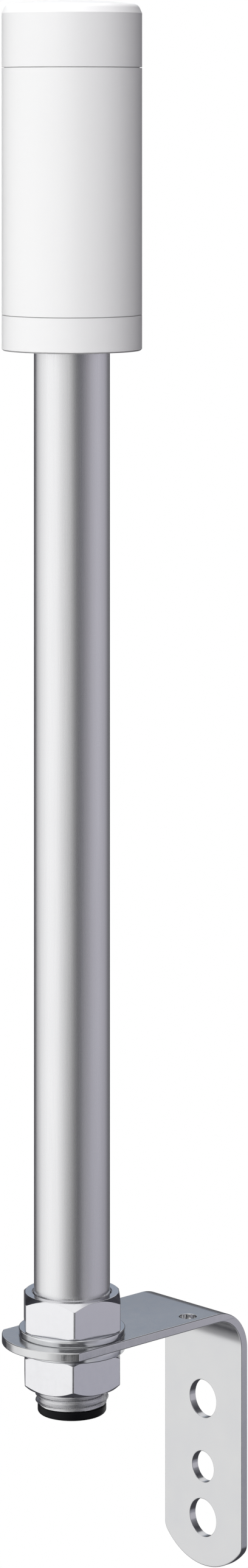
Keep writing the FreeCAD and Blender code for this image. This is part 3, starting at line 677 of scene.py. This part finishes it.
def makeBracket():
    piece = newPiece("bracketPlate", "bracket", "bracket_zinc", finishes["bracket_zinc"], "bracket")
    mesh = bmesh.new()
    armMiddle = armAlong(axisY)
    legMiddle = legAlong(bracketLow.z / mm + bracket["legRadius"])
    leg = endPoints(legMiddle, 1, bracket["legRadius"], bracket["legCorner"])
    arm = endPoints(armMiddle, -1, bracket["armRadius"], bracket["armCorner"])
    across, towards, radius = bracket["earthHole"]
    steps = bracket["holeSteps"]
    holes = [holePoints(across, armAlong(axisY + towards), radius, bracket["earthHoleSteps"])]
    holes.append(holePoints(0, armMiddle, bracket["poleHole"], steps))
    for drop, radius in bracket["wallHoles"]:
        holes.append(holePoints(0, legAlong(plateTop - drop), radius, steps))
    loops = [(leg + arm, bracket["edgeRound"])]
    loops += [(hole, bracket["holeRound"]) for hole in holes]
    faceEdges = ([], [])
    for points, size in loops:
        rows = []
        for inset, depth in edgeRows(size):
            places = [spot - outward * inset for spot, outward in points]
            rows.append([mesh.verts.new((*place, depth)) for place in places])
        for here, below in zip(rows, rows[1:]):
            for i in range(len(here)):
                mesh.faces.new((here[i - 1], here[i], below[i], below[i - 1]))
        for edges, row in zip(faceEdges, (rows[0], rows[-1])):
            edges += [mesh.edges.get((row[i - 1], row[i])) for i in range(len(row))]
    for edges in faceEdges:
        bmesh.ops.triangle_fill(mesh, use_beauty=True, use_dissolve=False, edges=edges)
    for along in evenly(0, foldLength, bracket["foldSteps"]):
        geometry = mesh.verts[:] + mesh.edges[:] + mesh.faces[:]
        margin = bracket["cutMargin"]
        bmesh.ops.bisect_plane(mesh, geom=geometry, dist=margin, plane_co=(0, along, 0), plane_no=(0, 1, 0))
    for vertex in mesh.verts:
        vertex.co = folded(*vertex.co) * mm
    bmesh.ops.recalc_face_normals(mesh, faces=mesh.faces)
    if mesh.calc_volume(signed=True) < 0:      # the guess above can be wrong on a thin fold
        bmesh.ops.reverse_faces(mesh, faces=mesh.faces)
    mesh.to_mesh(piece.data)
    mesh.free()
    piece.data.shade_smooth()
    piece.data.set_sharp_from_angle(angle=math.radians(bracket["sharpAngle"]))
    return piece


makeBracket()
print("bracket made")


# floor, surround and camera

studio = {
    "floorDrop": 0.25,         # floor below the part, because it hangs on a wall
    "floorHalf": 12.0,
    "floorCells": 8,
    "floorColours": ((0.84, 0.84, 0.84), (0.86, 0.86, 0.86)),
    "floorClouds": 400,        # size of the floor's soft patches in mm
    "backdrop": (1.0, 1.0, 1.0),
}

# what polished metal sees around it, from the ground up: a layer takes over between two heights, each the
# sine of an angle above the horizon, and its stops are a heading in degrees from +X and a colour there
surround = (
    (-1.0, -0.9, (
        (-180, 0.10, 0.10, 0.11),
        (-120, 0.62, 0.62, 0.63),
        (-70, 0.50, 0.50, 0.51),
        (-30, 0.10, 0.10, 0.11),
        (60, 0.07, 0.07, 0.08),
        (180, 0.05, 0.05, 0.06),
    )),
    (-0.6, -0.4, (
        (-180, 0.14, 0.14, 0.15),
        (-168, 0.16, 0.16, 0.17),
        (-152, 0.90, 0.90, 0.91),
        (-114, 1.03, 1.03, 1.03),
        (-88, 0.99, 0.99, 0.99),
        (-72, 0.66, 0.66, 0.67),
        (-64, 0.36, 0.36, 0.37),
        (-56, 0.04, 0.04, 0.045),
        (-19, 0.03, 0.03, 0.035),
        (-10, 0.56, 0.56, 0.59),
        (22, 0.42, 0.42, 0.48),
        (43, 0.34, 0.34, 0.39),
        (70, 0.24, 0.24, 0.28),
        (92, 0.08, 0.08, 0.09),
        (180, 0.06, 0.06, 0.07),
    )),
    (-0.284, -0.277, (
        (-180, 0.40, 0.40, 0.41),
        (-168, 0.68, 0.68, 0.69),
        (-145, 0.96, 0.96, 0.96),
        (-117, 1.14, 1.14, 1.14),
        (-91, 1.10, 1.10, 1.10),
        (-68, 0.86, 0.86, 0.86),
        (-50, 0.74, 0.74, 0.74),
        (-38, 0.38, 0.38, 0.38),
        (-27, 0.16, 0.16, 0.17),
        (-12, 0.17, 0.17, 0.19),
        (4, 0.32, 0.31, 0.34),
        (22, 0.50, 0.49, 0.54),
        (43, 0.57, 0.56, 0.62),
        (70, 0.47, 0.46, 0.51),
        (100, 0.16, 0.16, 0.17),
        (180, 0.06, 0.06, 0.07),
    )),
    (0.17, 0.24, (
        (-180, 0.06, 0.06, 0.07),
        (-165, 0.20, 0.20, 0.21),
        (-150, 0.90, 0.90, 0.91),
        (-90, 1.02, 1.02, 1.02),
        (-76, 0.80, 0.80, 0.81),
        (-66, 0.05, 0.05, 0.06),
        (-14, 0.03, 0.03, 0.035),
        (-5, 0.66, 0.66, 0.69),
        (30, 0.34, 0.34, 0.38),
        (70, 0.08, 0.08, 0.10),
        (110, 0.04, 0.04, 0.05),
        (124, 0.33, 0.37, 0.44),
        (152, 0.33, 0.37, 0.44),
        (164, 0.06, 0.06, 0.07),
        (180, 0.06, 0.06, 0.07),
    )),
    (0.34, 0.44, (
        (-180, 0.03, 0.03, 0.035),
        (-160, 0.05, 0.05, 0.06),
        (-140, 0.75, 0.75, 0.75),
        (-90, 0.95, 0.95, 0.95),
        (-40, 0.60, 0.60, 0.60),
        (20, 0.30, 0.30, 0.33),
        (75, 0.05, 0.05, 0.06),
        (98, 0.05, 0.05, 0.06),
        (114, 0.85, 0.85, 0.87),
        (150, 0.85, 0.85, 0.87),
        (163, 0.03, 0.03, 0.035),
        (180, 0.03, 0.03, 0.035),
    )),
    (0.74, 0.86, (
        (-180, 1.02, 1.02, 1.02),
        (-5, 1.02, 1.02, 1.02),
        (50, 0.52, 0.52, 0.55),
        (100, 0.56, 0.56, 0.59),
        (140, 1.00, 1.00, 1.00),
        (180, 1.02, 1.02, 1.02),
    )),
)

# soft lights for the plastic, left out of reflections: heading and rise in degrees, strength, colour
lamps = {
    "keyLight": (-65, 25, 2.41, (1.0, 1.0, 1.0)),
    "leftLight": (-135, 15, 1.31, (1.0, 1.0, 1.0)),
    "frontLight": (-20, 10, 0.37, (1.0, 1.0, 1.0)),
    "rightLight": (20, 10, 0.38, (0.94, 0.88, 1.0)),
    "backLight": (158, 10, 1.30, (1.0, 1.0, 1.0)),
    "topLight": (-43, 88, 1.80, (1.0, 1.0, 1.0)),
}
lampSpread = 60                # degrees
view = {
    "place": (0.8738, -0.8669, 0.3978),
    "heading": 46.39,
    "tiltDown": 0.308,
    "lens": 96.28,
    "shift": -0.42,
}


def makeFloor():
    recipe = Recipe("paleFloor", Roughness=0.9, Specular_IOR_Level=0.0)
    clouds = recipe.noise(studio["floorClouds"], detail=2)
    recipe.finish(recipe.blend(clouds, *studio["floorColours"]))
    seen = recipe.node("ShaderNodeLightPath").outputs["Is Camera Ray"]
    glow = recipe.node("ShaderNodeEmission")
    glow.inputs["Color"].default_value = (*studio["backdrop"], 1)
    mix = recipe.node("ShaderNodeMixShader")
    recipe.join(seen, mix.inputs[0])
    recipe.join(recipe.shader.outputs["BSDF"], mix.inputs[1])
    recipe.join(glow.outputs["Emission"], mix.inputs[2])
    recipe.join(mix.outputs["Shader"], recipe.tree.nodes["Material Output"].inputs["Surface"])
    floor = bpy.data.objects.new("floor", bpy.data.meshes.new("floor"))
    bpy.context.scene.collection.objects.link(floor)
    mesh = bmesh.new()
    cells = studio["floorCells"]
    bmesh.ops.create_grid(mesh, x_segments=cells, y_segments=cells, size=studio["floorHalf"])
    mesh.to_mesh(floor.data)
    mesh.free()
    floor.data.materials.append(recipe.material)
    floor.location = (0, 0, cadLow.z - studio["floorDrop"])
    floor.visible_glossy = False
    floor.visible_diffuse = False


def makeSurround():
    world = bpy.data.worlds.new("surround")
    bpy.context.scene.world = world
    world.use_nodes = True
    world.cycles_visibility.diffuse = False
    tree = world.node_tree
    join = tree.links.new

    def node(kind, **settings):
        made = tree.nodes.new(kind)
        for label, value in settings.items():
            setattr(made, label, value)
        return made

    def spread(source, low, high, **settings):
        made = node("ShaderNodeMapRange", **settings)
        made.inputs["From Min"].default_value = low
        made.inputs["From Max"].default_value = high
        join(source, made.inputs["Value"])
        return made.outputs["Result"]

    def band(share, headings):
        ramp = node("ShaderNodeValToRGB")
        ramp.color_ramp.interpolation = "EASE"
        stops = ramp.color_ramp.elements
        stops[0].position, stops[1].position = 0, 1
        for angle, *colour in headings[1:-1]:
            stops.new((angle + 180) / 360)
        for stop, (angle, *colour) in zip(stops, headings):
            stop.color = (*colour, 1)
        join(share, ramp.inputs["Fac"])
        return ramp.outputs["Color"]

    def mixed(share, first, second):
        mix = node("ShaderNodeMix", data_type="RGBA")
        join(share, mix.inputs[0])
        join(first, mix.inputs[6])
        join(second, mix.inputs[7])
        return mix.outputs[2]

    parts = node("ShaderNodeSeparateXYZ")
    join(node("ShaderNodeTexCoord").outputs["Generated"], parts.inputs["Vector"])
    heading = node("ShaderNodeMath", operation="ARCTAN2")
    join(parts.outputs["Y"], heading.inputs[0])
    join(parts.outputs["X"], heading.inputs[1])
    share = spread(heading.outputs["Value"], -math.pi, math.pi)
    lit = band(share, surround[0][2])
    for low, high, headings in surround[1:]:
        height = spread(parts.outputs["Z"], low, high, interpolation_type="SMOOTHSTEP")
        lit = mixed(height, lit, band(share, headings))
    backdrop = node("ShaderNodeRGB")
    backdrop.outputs[0].default_value = (*studio["backdrop"], 1)
    seen = node("ShaderNodeLightPath").outputs["Is Camera Ray"]
    join(mixed(seen, lit, backdrop.outputs[0]), tree.nodes["Background"].inputs["Color"])


def makeLamps():
    for name, (heading, rise, strength, colour) in lamps.items():
        light = bpy.data.lights.new(name, "SUN")
        light.energy = strength
        light.color = colour
        light.angle = math.radians(lampSpread)
        lamp = bpy.data.objects.new(name, light)
        bpy.context.scene.collection.objects.link(lamp)
        lamp.rotation_euler = (math.radians(90 - rise), 0, math.radians(heading + 90))
        lamp.visible_glossy = False


def makeCamera():
    lens = bpy.data.cameras.new("camera")
    lens.lens = view["lens"]
    lens.shift_y = view["shift"]
    camera = bpy.data.objects.new("camera", lens)
    bpy.context.scene.collection.objects.link(camera)
    camera.location = view["place"]
    tilt = math.radians(90 - view["tiltDown"])
    camera.rotation_euler = (tilt, 0, math.radians(view["heading"]))
    bpy.context.scene.camera = camera


makeFloor()
makeSurround()
makeLamps()
makeCamera()
bpy.context.scene.view_settings.view_transform = "Standard"
print("floor, surround and camera made")
